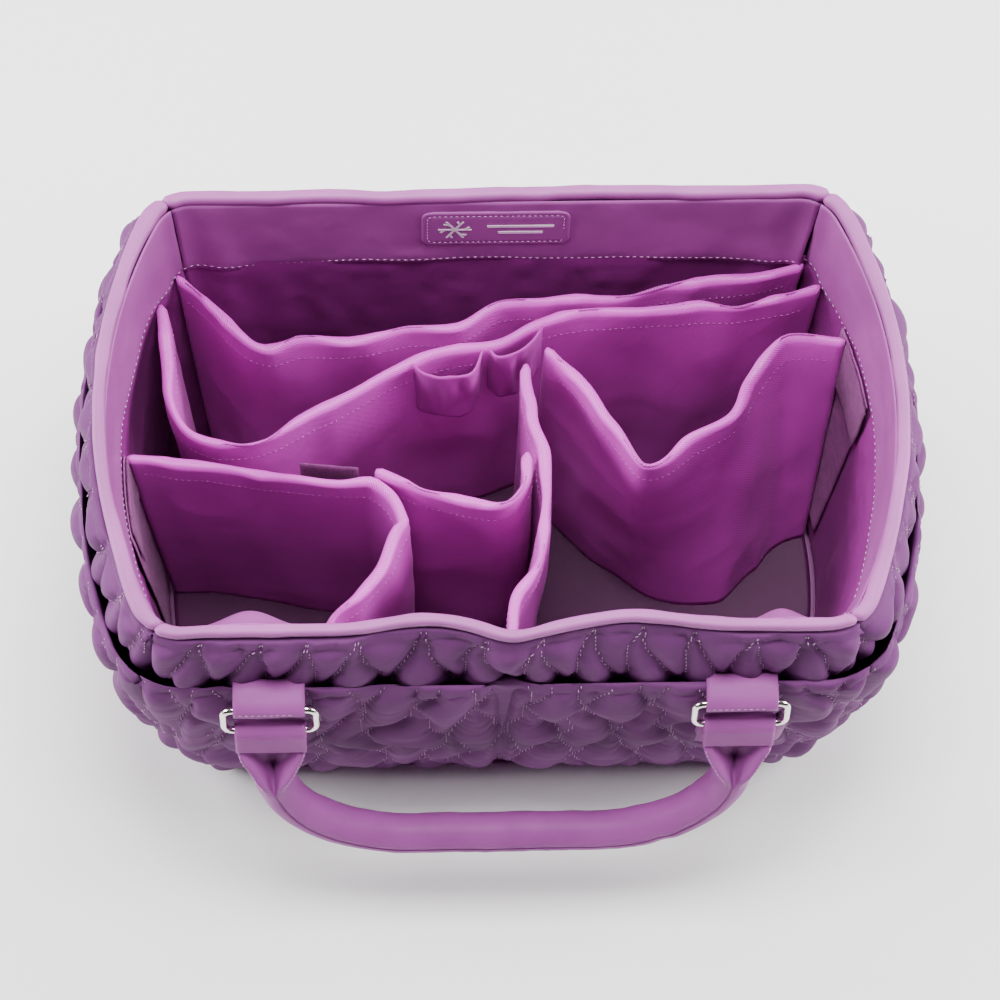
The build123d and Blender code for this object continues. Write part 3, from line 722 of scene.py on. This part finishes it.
def addDivider(name, body, seed, neighbours=(), sag=3.0, dip=3.5, puff=1.0):
    # A panel that follows its route. First, which stretch of the route is free at a few levels: inside
    # the lining and clear of its neighbours.
    levels, top, floor = np.linspace(0, divider["top"] + 1, 10), divider["top"], divider["floor"]
    ends = []
    for level in levels:
        line = dividerLine(name, level)
        reach = -2.2 if body == "bag" else -3.6
        free = insideWall(line[:, 0], line[:, 1], level, reach) > 0
        for other in neighbours:
            far = dividerLine(other, level)
            gap = np.linalg.norm(line[:, None] - far[None], axis=-1).min(1)
            free &= gap > divider["thickness"] / 2 + divider["gap"]
        where = np.nonzero(free)[0]
        middle = where[len(where) // 2]
        breaks = np.nonzero(~free)[0]
        first = breaks[breaks < middle].max() + 1 if (breaks < middle).any() else 0
        last = breaks[breaks > middle].min() - 1 if (breaks > middle).any() else 599
        ends.append((first / 599, last / 599))
    ends = np.array(ends)
    # profile: up the right face, over the edge on a half circle, down the left face
    faceRows = divider["faceRows"]
    height = floor + (top - divider["soft"] - floor) * np.linspace(0, 1, faceRows)
    turn = np.linspace(0, np.pi, divider["softRows"] + 2)[1:-1]
    half = divider["thickness"] / 2
    level = np.concatenate([height, top - divider["soft"] * (1 - np.sin(turn)), height[::-1]])
    offset = np.concatenate([-half + 0 * height, -half * np.cos(turn), half + 0 * height])
    rows = len(level)
    line = dividerLine(name, top)
    lengthMm = np.linalg.norm(np.diff(line, axis=0), axis=1).sum() * (ends[-1, 1] - ends[-1, 0])
    cols = int(lengthMm / divider["cell"]) + 2
    t = np.linspace(0, 1, cols)
    rise = ((level - floor) / (top - floor))[:, None]
    grid, normal = np.zeros((rows, cols, 3)), np.zeros((rows, cols, 3))
    for r in range(rows):
        line = dividerLine(name, level[r])
        first, last = np.interp(level[r], levels, ends[:, 0]), np.interp(level[r], levels, ends[:, 1])
        places = (first + (last - first) * t) * 599
        for k in (0, 1):
            grid[r, :, k] = np.interp(places, np.arange(600), line[:, k])
        tangent = np.gradient(grid[r, :, :2], axis=0)
        tangent /= np.linalg.norm(tangent, axis=1, keepdims=True)
        normal[r, :, 0], normal[r, :, 1] = -tangent[:, 1], tangent[:, 0]
    grid[..., 2] = level[:, None]
    pinned = np.clip(np.minimum(t, 1 - t) * lengthMm / 18, 0, 1)[None, :]
    oneFace = (rows + 1) // 2
    sway = smoothNoise(seed, oneFace, cols, 26, 11) * sag * np.linspace(0.15, 1, oneFace)[:, None]
    sway = np.vstack([sway, sway[::-1][rows % 2:]])
    crease = (1.1 - 1.5 * np.abs(smoothNoise(seed + 1, rows, cols, 17, 11))
              - 0.8 * np.abs(smoothNoise(seed + 2, rows, cols, 9, 15))) * 0.8
    belly = puff * (0.6 + 0.6 * smoothNoise(seed + 3, rows, cols, 14, 9)) * np.sin(np.pi * np.clip(rise, 0, 1))
    face = np.sign(offset)[:, None]
    thin = np.sqrt(1 - (1 - np.clip(np.minimum(t, 1 - t) * lengthMm / 3 + 0.15, 0, 1))**2)[None, :]
    edgeWave = smoothNoise(seed + 6, 1, cols, 1, 7) * 0.3 * easeStep(rise, 0.9, 1)
    hem = -0.55 * hump(level[:, None], top - 8.5, 1.2)       # the stitched line under the edge
    out = offset[:, None] * thin + sway * pinned + (belly + crease + hem) * face * pinned * 0.9 + edgeWave
    grid += normal * out[..., None]
    drop = (np.maximum(smoothNoise(seed + 4, 1, cols, 1, 13), -0.4) * dip
            + smoothNoise(seed + 5, 1, cols, 1, 7) * 0.25) * pinned
    grid[..., 2] -= drop * rise**2
    run = np.linspace(0, lengthMm, cols)[None, :] + np.zeros((rows, 1))
    profile = np.concatenate([[0], np.cumsum(np.hypot(np.diff(level), np.diff(offset)))])[:, None] + 0 * run
    k = np.arange(rows // 2 - 1)[:, None]
    cap = np.hstack([k, k + 1, rows - 2 - k, rows - 1 - k]) * cols
    faces = np.vstack([gridFaces(rows, cols, loopRows=True), cap, cap[:, ::-1] + cols - 1])
    piece = addPiece(f"{name}_partition", grid.reshape(-1, 3), [faces], dividerTwillPaintedLight, body,
                     np.stack([run, profile], -1).reshape(-1, 2), (f"{name}_divider",))
    for part, row, outward in (("near", faceRows - 4, 1), ("far", rows - faceRows + 3, -1)):
        stitchPath(f"{name}_{part}_hem", grid[row, 3:-3], divider["seamPitch"], outward, body,
                   2.2, 0.4, 0.1, dividerThread)


addDivider("back", "bag", 501, sag=3.0, dip=5.0)
addDivider("middle", "bag", 521, sag=2.0, dip=2.5)
addDivider("centre", "centre_divider", 541, ("middle",), sag=2.5, dip=2.5)
addDivider("box", "box_divider", 561, (), sag=2.5, dip=3.0)
addDivider("cross", "cross_divider", 581, ("centre", "box"), sag=2.0, dip=4.0)
addDivider("vee", "vee_divider", 603, ("centre", "middle"), sag=2.5, dip=3.0, puff=1.4)
print("dividers done")

def addTape(name, grid, thickness, material, body, seed, replaces, fray=0.3, waveRows=8, wave=0.2):
    # a strip of tape on a grid: its upper and lower cut edges are a little frayed, its face not quite flat
    rows, cols = grid.shape[:2]
    ends = np.abs(np.linspace(-1, 1, rows))[:, None] > 0.93
    grid[..., 2] += smoothNoise(seed, rows, cols, 2, 2) * fray * ends
    grid += gridNormal(grid) * (wave * smoothNoise(seed + 1, rows, cols, waveRows, 6))[..., None]
    addSlab(name, grid, thickness, material, body, replaces=replaces)


tape = dict(top=198, cell=2.4, loopLow=30, loopWidth=46, loopReach=-2.6, loopThick=1.0,
            gripLow=156, gripReach=-4.2, gripThick=1.4)
# name, wall side, middle in mm along the wall, width, body, seed. The loop tapes lie on the lining, and
# each grip lies on a loop tape.
for name, side, middle, width, body, seed in (
        ("left_loop_tape", "left", 0.2 * topSizes[1], tape["loopWidth"], "bag", 701),
        ("right_loop_tape", "right", 0.42 * topSizes[1], tape["loopWidth"], "bag", 703),
        ("front_loop_tape", "front", 0.12 * topSizes[0], tape["loopWidth"], "bag", 705),
        ("near_loop_tape", "front", -0.5 * topSizes[0], tape["loopWidth"], "bag", 707),
        ("centre_grip", "front", 23.5, 37, "centre_divider", 711),
        ("box_grip", "left", 23, 42, "box_divider", 713),
        ("vee_grip", "right", 42, 42, "vee_divider", 715)):
    kind = "grip" if name.endswith("grip") else "loop"
    low, top, reach = tape[kind + "Low"], tape["top"], tape[kind + "Reach"]
    middle = middle / halfWidth("front" if side == "front" else "right", top, -2)
    half = width / 2 / halfWidth(side, (low + top) / 2, reach)
    rows, cols = int((top - low) / tape["cell"]) + 2, int(width / tape["cell"]) + 2
    share = np.linspace(middle + half, middle - half, cols)[None, :] + np.zeros((rows, 1))
    grid, _ = wallPoint(side, share, np.linspace(low, top, rows)[:, None], reach)
    if kind == "grip":
        addTape(name, grid, tape["gripThick"], hookTape, body, seed,
                (name.replace("_grip", "_hook"),))
    else:
        addTape(name, grid, tape["loopThick"], loopTape, body, seed, ("loop_strips",))
# the cross divider's grip lies along the box divider instead of a wall
path, _ = curveThrough(np.array([(-0.62, -0.092), (-0.52, -0.108), (-0.44, -0.122)]) * topSizes, 14)
path = path[::-1] + np.array([0.6, 5.4])
grid = joined(path[:, 0], path[:, 1], np.linspace(tape["gripLow"], 199, 21)[:, None])
addTape("cross_grip", grid, 1.5, hookTape, "cross_divider", 717, ("cross_hook",), 0.25, 7, 0.25)

# elastic loops: two soft bands bowed out from the sewn divider, gathered at their top edge
elastic = dict(low=149.0, tall=49.0, bow=2.5, ripple=0.7, thickness=1.5, rows=24, cols=44)
loopRoutes = [[(-0.266, 0.455), (-0.22, 0.395), (-0.15, 0.375), (-0.08, 0.405), (-0.045, 0.52)],
              [(-0.024, 0.53), (0.006, 0.482), (0.052, 0.49), (0.1, 0.54), (0.145, 0.64)]]
for number, points in enumerate(loopRoutes):
    rows, cols = elastic["rows"], elastic["cols"]
    path, reach = curveThrough(np.array(points) * topSizes, cols)
    up = np.linspace(0, 1, rows)[:, None] + np.zeros((1, cols))
    bowOut = np.sin(np.linspace(0, np.pi, cols))[None, :]
    grid = joined(path[:, 0], path[:, 1], elastic["low"] + (elastic["tall"] + elastic["bow"] * bowOut) * up)
    ripple = smoothNoise(731 + number, rows, cols, 9, 5) * elastic["ripple"] * bowOut
    grid += gridNormal(grid) * ripple[..., None]
    uv = np.stack([np.linspace(0, reach, cols)[None, :] + 0 * up, 50 * up], -1)
    piece = addSlab(f"elastic_band_{number + 1}", grid, elastic["thickness"], elasticWeave, uv=uv,
                    replaces=("elastic_loops",))
print("tapes and elastic done")

# the handles hang from the rings' pivots and lean out; down and out are measured in that leaning plane
hang = dict(pivotY=-146.8, pivotZ=207.0, lean=12.0, barDrop=19.0, tubeDrop=130.0, tab=122.0, width=37.0,
            tube=11.0, bend=72.0, barrel=3.7, strap=1.9, flatWide=18.2, flatThick=3.2)


def strapProfile(points, radius, count):
    # a polyline in (y, z) with every corner rounded by a quadratic curve that starts radius before it
    points = np.asarray(points, float)
    out = [points[0]]
    for before, corner, after in zip(points[:-2], points[1:-1], points[2:]):
        a, b = before - corner, after - corner
        ra, rb = min(radius, 0.48 * np.linalg.norm(a)), min(radius, 0.48 * np.linalg.norm(b))
        a, b = corner + a / np.linalg.norm(a) * ra, corner + b / np.linalg.norm(b) * rb
        t = np.linspace(0, 1, 7)[:, None]
        out.extend((1 - t)**2 * a + 2 * t * (1 - t) * corner + t**2 * b)
    out.append(points[-1])
    out = np.array(out)
    run = runAlong(out)
    return pointsAt(out, run, np.linspace(0, run[-1], count))


def addTab(end, hand, facing):
    # a strap out of the pocket's edge, over it and round the ring's upper bar: its profile in (y, z), a
    # rounded polyline and an arc, is carried across the strap's width
    middle = (-1 if hand == "left" else 1) * hang["tab"]
    y, z, r = hang["pivotY"], hang["pivotZ"], hang["barrel"]
    start = [(-132.6, 197), (-132.6, 213.6), (-139.5, 214.2), (-147.0, 212.6), (y - r * 0.93, z + 2.6)]
    angle = np.radians(np.linspace(200, 395, 16))[1:]
    loop = np.stack([y + r * np.cos(angle), z + r * np.sin(angle)], -1)
    profile = np.vstack([strapProfile(start, 3.0, 44), loop, [[y + 2.3, z + 4.4], [y + 6.5, z + 4.7]]])
    profile = strapProfile(profile, 0.8, 70)[::-1]
    rows, cols = len(profile), 21
    x = middle + np.linspace(-hang["width"] / 2, hang["width"] / 2, cols)[None, :] + np.zeros((rows, 1))
    grid = joined(x, profile[:, None, 0], profile[:, None, 1])
    grid += gridNormal(grid) * (smoothNoise(801 if hand == "left" else 805, rows, cols, 9, 8) * 0.22)[..., None]
    grid = grid * np.array([1, facing, 1])
    if facing < 0:
        grid = grid[:, ::-1]
    addSlab(f"{end}_{hand}_strap", grid, hang["strap"], strapLeather,
            replaces=(f"{end}_{hand}_tab",), soft=1.6)
    # a stitched row across the strap just above the ring
    row = np.nonzero(np.abs(grid[:, 10, 1]) > 149.4)[0]
    row = row[np.argmin(np.abs(grid[row, 10, 2] - 209.5))]
    stitchPath(f"{end}_{hand}_strap_seam", grid[row, 2:-2], 3.2, gridNormal(grid)[row, 10],
               lift=0.95)


def hangPoint(x, down, out, facing):
    # place in the hanging handle's plane: down from the pivots along the lean, out towards the front
    lean = math.radians(hang["lean"])
    y = hang["pivotY"] - down * math.sin(lean) - out * math.cos(lean)
    z = hang["pivotZ"] - down * math.cos(lean) + out * math.sin(lean)
    return joined(x, y * facing, z)


def addHandle(end, facing):
    # A section carried along a path in the hang plane: down one side, round the bend, across and back up
    # the other. The section is a superellipse, flat at the rings and round at the grip.
    side, low, bend = hang["tab"], hang["tubeDrop"], hang["bend"]
    straight, arc, across = low - bend - hang["barDrop"], bend * math.pi / 2, 2 * (side - bend)
    total = 2 * straight + 2 * arc + across
    cols = 420
    run = np.linspace(2.2, total - 2.2, cols)
    q = np.minimum(run, total - run)
    turned = np.clip((q - straight) / bend, 0, math.pi / 2)
    x = np.where(q < straight, side, np.where(q < straight + arc, side - bend + bend * np.cos(turned),
                                              side - bend - (q - straight - arc)))
    down = np.where(q < straight, hang["barDrop"] + q, low - bend + bend * np.sin(turned))
    hand = np.where(run < total / 2, -1.0, 1.0)
    x = x * hand
    tx, td = np.gradient(x), np.gradient(down)
    length = np.hypot(tx, td)
    tx, td = tx / length, td / length
    ux, ud = -td, tx                                     # across the tube, in the plane
    rows = 96
    turn = np.linspace(0, 2 * np.pi, rows, endpoint=False)[:, None]
    opened = easeStep(q, 34, 52)[None, :]                # 0 on the flat end, 1 on the round tube
    halfWide = hang["flatWide"] + (hang["tube"] - hang["flatWide"]) * easeStep(q, 15, 44)[None, :]
    halfThick = hang["flatThick"] + (hang["tube"] - hang["flatThick"]) * easeStep(q, 13, 46)[None, :]
    power = 0.42 + 0.58 * opened
    c, s = np.cos(turn), np.sin(turn)
    u = halfWide * np.sign(c) * np.abs(c)**power
    w = halfThick * np.sign(s) * np.abs(s)**power
    # the valley: outside the tube's round, between two rolls that come together towards the grip
    gap = (13.0 * (1 - easeStep(q, 15, 50)) - 0.5)[None, :]
    valley = easeStep(gap - np.abs(u), -1.2, 1.6) * easeStep(q, 13.5, 17)[None, :] * (np.abs(s) > 0.2)
    roll = 3.0 * hump(np.abs(u), gap + 3.8, 2.7) * easeStep(q, 14, 20)[None, :] * (1 - opened)
    slit = hump(u, 0, 1.5) * easeStep(q, 15, 18)[None, :] * (1 - easeStep(q, 42, 50))[None, :] * (s > 0.2)
    w = w - np.sign(s) * valley * (halfThick * 0.8) + roll * easeStep(s, 0.05, 0.4) - 4.2 * slit
    wrinkle = smoothNoise(851, rows, cols, 20, 10) * 0.20 + smoothNoise(853, rows, cols, 44, 5) * 0.06
    scale = 1 + wrinkle / hang["tube"]
    u, w = u * scale, w * scale
    seam = easeStep(q, 48, 60)[None, :] * hump((turn - 1.5 * np.pi + 0.35), 0, 0.075)
    u, w = u * (1 - 0.10 * seam), w * (1 - 0.10 * seam)
    grid = hangPoint(x[None, :] + ux[None, :] * u, down[None, :] + ud[None, :] * u, w, facing)
    if facing < 0:
        grid = grid[::-1]
    faces = gridFaces(rows, cols, loopRows=True)
    caps = np.arange(rows)[None, :]
    centre = hangPoint(x, down, 0 * x, facing)
    probe = np.cross(grid[0, 211] - grid[0, 210], grid[1, 210] - grid[0, 210])
    if (probe * (grid[0, 210] - centre[210])).sum() < 0:
        faces, caps = faces[:, ::-1], caps[:, ::-1]
    piece = addPiece(f"{end}_grip_leather", grid.reshape(-1, 3),
                     [faces, np.vstack([caps * cols, caps[:, ::-1] * cols + cols - 1])], strapLeather,
                     f"{end}_handle",
                     replaces=(f"{end}_handle_cover", f"{end}_handle_core", f"{end}_left_handle_end",
                               f"{end}_right_handle_end"))
    # stitches beside the valley
    outward = hangPoint(0.0, 0.0, 1.0, facing) - hangPoint(0.0, 0.0, 0.0, facing)
    for hand in ("left", "right"):
        near = np.nonzero((q > 16.5) & (q < 48) & ((run < total / 2) == (hand == "left")))[0]
        for part, sign in (("inner", -1), ("outer", 1)):
            want = sign * (gap[0, near] + 4.6)
            row = (np.abs(u[:, near] - want[None, :]) + 100 * (s <= 0.25)).argmin(0)
            path = hangPoint(x[near] + ux[near] * u[row, near], down[near] + ud[near] * u[row, near],
                             w[row, near] + 0.25, facing)
            stitchPath(f"{end}_{hand}_{part}_stitches", path, 2.9, outward, f"{end}_handle",
                       2.0, 0.42)
    # the wrap: flat on both sides of the handle's end, and half round the ring's lower bar between
    bar, r = hang["barDrop"], 4.35
    angle = np.linspace(math.radians(-12), math.radians(192), 16)
    flat = np.linspace(bar + 15.5, bar + 1.0, 12)
    profile = np.vstack([np.stack([flat, 4.5 + 0 * flat], -1),
                         np.stack([bar - r * np.sin(angle), r * np.cos(angle)], -1),
                         np.stack([flat[::-1], -4.5 + 0 * flat], -1)])
    wide = np.linspace(-18.5, 18.5, 21)[None, :] + np.zeros((len(profile), 1))
    for hand, sign in (("left", -1), ("right", 1)):
        wrap = hangPoint(sign * side + wide, profile[:, None, 0], profile[:, None, 1], facing)
        inside = hangPoint(np.array([sign * side]), np.array([bar + 6.0]), np.array([0.0]), facing)[0]
        if (gridNormal(wrap)[4, 10] * (wrap[4, 10] - inside)).sum() < 0:
            wrap = wrap[:, ::-1]
        addSlab(f"{end}_{hand}_wrap", wrap, hang["strap"], strapLeather, f"{end}_handle",
                soft=1.6)


for end, facing in (("front", 1), ("back", -1)):
    addTab(end, "left", facing)
    addTab(end, "right", facing)
    addHandle(end, facing)
print("straps and handles done")

label = dict(width=80.0, tall=32.0, corner=6.0, level=232.0, slope=math.atan2(22, 262), hem=3.25)
patch = dict(x=123.0, level=140.0, width=46.0, tall=42.0, corner=5.0, reach=27.6, hem=3.0)


def roundedGrid(width, tall, corner, rows, cols):
    # a rectangle's grid pulled in so that its four corners are round
    u = np.linspace(-1, 1, cols)[None, :] + np.zeros((rows, 1))
    v = np.linspace(-1, 1, rows)[:, None] + np.zeros((1, cols))
    x, y = u * width / 2, v * tall / 2
    over = np.maximum(np.abs(y) - (tall / 2 - corner), 0)
    limit = width / 2 - corner + np.sqrt(np.maximum(corner**2 - over**2, 0))
    return x * limit / (width / 2), y


def borderPath(width, tall, corner):
    # a quarter circle about each inner corner point, joined by the straight runs between them
    turn = np.linspace(0, 2 * np.pi, 400)
    c, s = np.cos(turn), np.sin(turn)
    return np.sign(c) * (width / 2 - corner) + c * corner, np.sign(s) * (tall / 2 - corner) + s * corner


def labelPoint(x, y, lift):
    # a place on the inner label, which leans with the back wall
    slope = label["slope"]
    middleY = halfSizes(label["level"])[1] - 1.5
    return joined(x, middleY + y * math.sin(slope) - lift * math.cos(slope),
                  label["level"] + y * math.cos(slope) + lift * math.sin(slope))


labelOut = labelPoint(0.0, 0.0, 1.0) - labelPoint(0.0, 0.0, 0.0)
x, y = roundedGrid(label["width"], label["tall"], label["corner"], 30, 66)
edgeFall = np.minimum(label["width"] / 2 - np.abs(x), label["tall"] / 2 - np.abs(y))
lift = 0.2 * easeStep(edgeFall, 0.5, 3.5) - 0.45 * hump(edgeFall, 3.2, 0.8)
grid = labelPoint(x, y, 0.55) + labelOut * lift[..., None]
addSlab("label_pad", grid, 1.5, facingLeather, replaces=("inner_label",))
x, y = borderPath(label["width"] - 2 * label["hem"], label["tall"] - 2 * label["hem"], 3.4)
stitchPath("label_stitches", labelPoint(x, y, 1.35), 3.0, labelOut, length=2.0, width=0.42)

x, y = roundedGrid(patch["width"], patch["tall"], patch["corner"], 34, 37)
acrossFront = halfWidth("front", patch["level"], 20)
edgeFall = np.minimum(patch["width"] / 2 - np.abs(x), patch["tall"] / 2 - np.abs(y))
grid, _ = wallPoint("front", (x + patch["x"]) / acrossFront, patch["level"] + y,
                    patch["reach"] - 1.6 * (1 - easeStep(edgeFall, 0, 4)) - 0.5 * hump(edgeFall, 3.0, 0.8))
addSlab("outer_patch", grid, 1.6, strapLeather, replaces=("front_patch",))
x, y = borderPath(patch["width"] - 2 * patch["hem"], patch["tall"] - 2 * patch["hem"], 3.0)
line, _ = wallPoint("front", (x + patch["x"]) / acrossFront, patch["level"] + y, patch["reach"] + 0.45)
stitchPath("patch_stitches", line, 3.2, np.array([0.0, -1.0, 0.0]))
print("labels done")

# CAD pieces that stay as they are take the scene's materials
finishes = dict(ring=ringMetal, emblem=foil, patch=facingLeather, panel=baseLeather, board=baseLeather)
for node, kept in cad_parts.items():
    ending = node.rsplit("_", 1)[-1]
    if ending in finishes:
        kept.data.materials.clear()
        kept.data.materials.append(finishes[ending])


def addLight(name, place, target, size, power):
    # a rectangular softbox that looks at its target
    data = bpy.data.lights.new(name, "AREA")
    data.shape, data.size, data.size_y, data.energy = "RECTANGLE", size[0], size[1], power
    light = bpy.data.objects.new(name, data)
    bpy.context.scene.collection.objects.link(light)
    light.location = place
    light.rotation_euler = (Vector(target) - Vector(place)).to_track_quat("-Z", "Y").to_euler()


# the camera's three directions from its height and side angles, then turned by its roll
view = dict(elevation=67.0, azimuth=-4.05, roll=3.0, distance=1.9, target=(0.0012, -0.007, 0.150), lens=125.2)
e, a, r = (math.radians(view[k]) for k in ("elevation", "azimuth", "roll"))
back = np.array([math.sin(a) * math.cos(e), -math.cos(a) * math.cos(e), math.sin(e)])
right = np.array([math.cos(a), math.sin(a), 0])
up = np.cross(back, right)
right, up = right * math.cos(r) + up * math.sin(r), up * math.cos(r) - right * math.sin(r)
cameraData = bpy.data.cameras.new("camera")
cameraData.lens, cameraData.sensor_width = view["lens"], 36
camera = bpy.data.objects.new("camera", cameraData)
bpy.context.scene.collection.objects.link(camera)
turned = Matrix([[right[k], up[k], back[k]] for k in range(3)]).to_4x4()
turned.translation = np.array(view["target"]) + back * view["distance"]
camera.matrix_world = turned
bpy.context.scene.camera = camera

# low softboxes at both sides leave the inside deep and the front in shade, with painted shade in the darker
# quilt, lining and floor colours; two weaker ones above
studio = dict(side=64.0, top=44.0, back=22.0, world=0.04, floor=-0.0005)
addLight("left softbox", (-1.5, 0.25, 0.95), (0, 0, 0.12), (1.3, 0.9), studio["side"])
addLight("right softbox", (1.5, 0.25, 0.95), (0, 0, 0.12), (1.3, 0.9), studio["side"])
addLight("overhead softbox", (0.0, 0.02, 1.9), (0, 0, 0.1), (0.7, 0.5), studio["top"])
addLight("rear softbox", (0.2, 1.4, 1.2), (0, 0, 0.1), (1.6, 0.8), studio["back"])
world = bpy.data.worlds.new("studio")
world.use_nodes = True
world.node_tree.nodes["Background"].inputs[0].default_value = (1, 0.985, 0.99, 1)
world.node_tree.nodes["Background"].inputs[1].default_value = studio["world"]
bpy.context.scene.world = world

floorMesh = bpy.data.meshes.new("floor")
floorCorners = [(x, y, studio["floor"]) for x, y in ((-6, -6), (6, -6), (6, 6), (-6, 6))]
floorMesh.from_pydata(floorCorners, [], [(0, 1, 2, 3)])
floor = bpy.data.objects.new("floor", floorMesh)
bpy.context.scene.collection.objects.link(floor)
paper, paperShader, paperPlace, _ = startMaterial("backdrop paper")
tone = noise(paperPlace, 3).step(0.2, 0.8)
plug(paperShader, "Base Color", tone.blend((0.93, 0.92, 0.92, 1), (0.95, 0.94, 0.94, 1)))
plug(paperShader, "Roughness", 0.85)
floorMesh.materials.append(paper)
print("studio set")
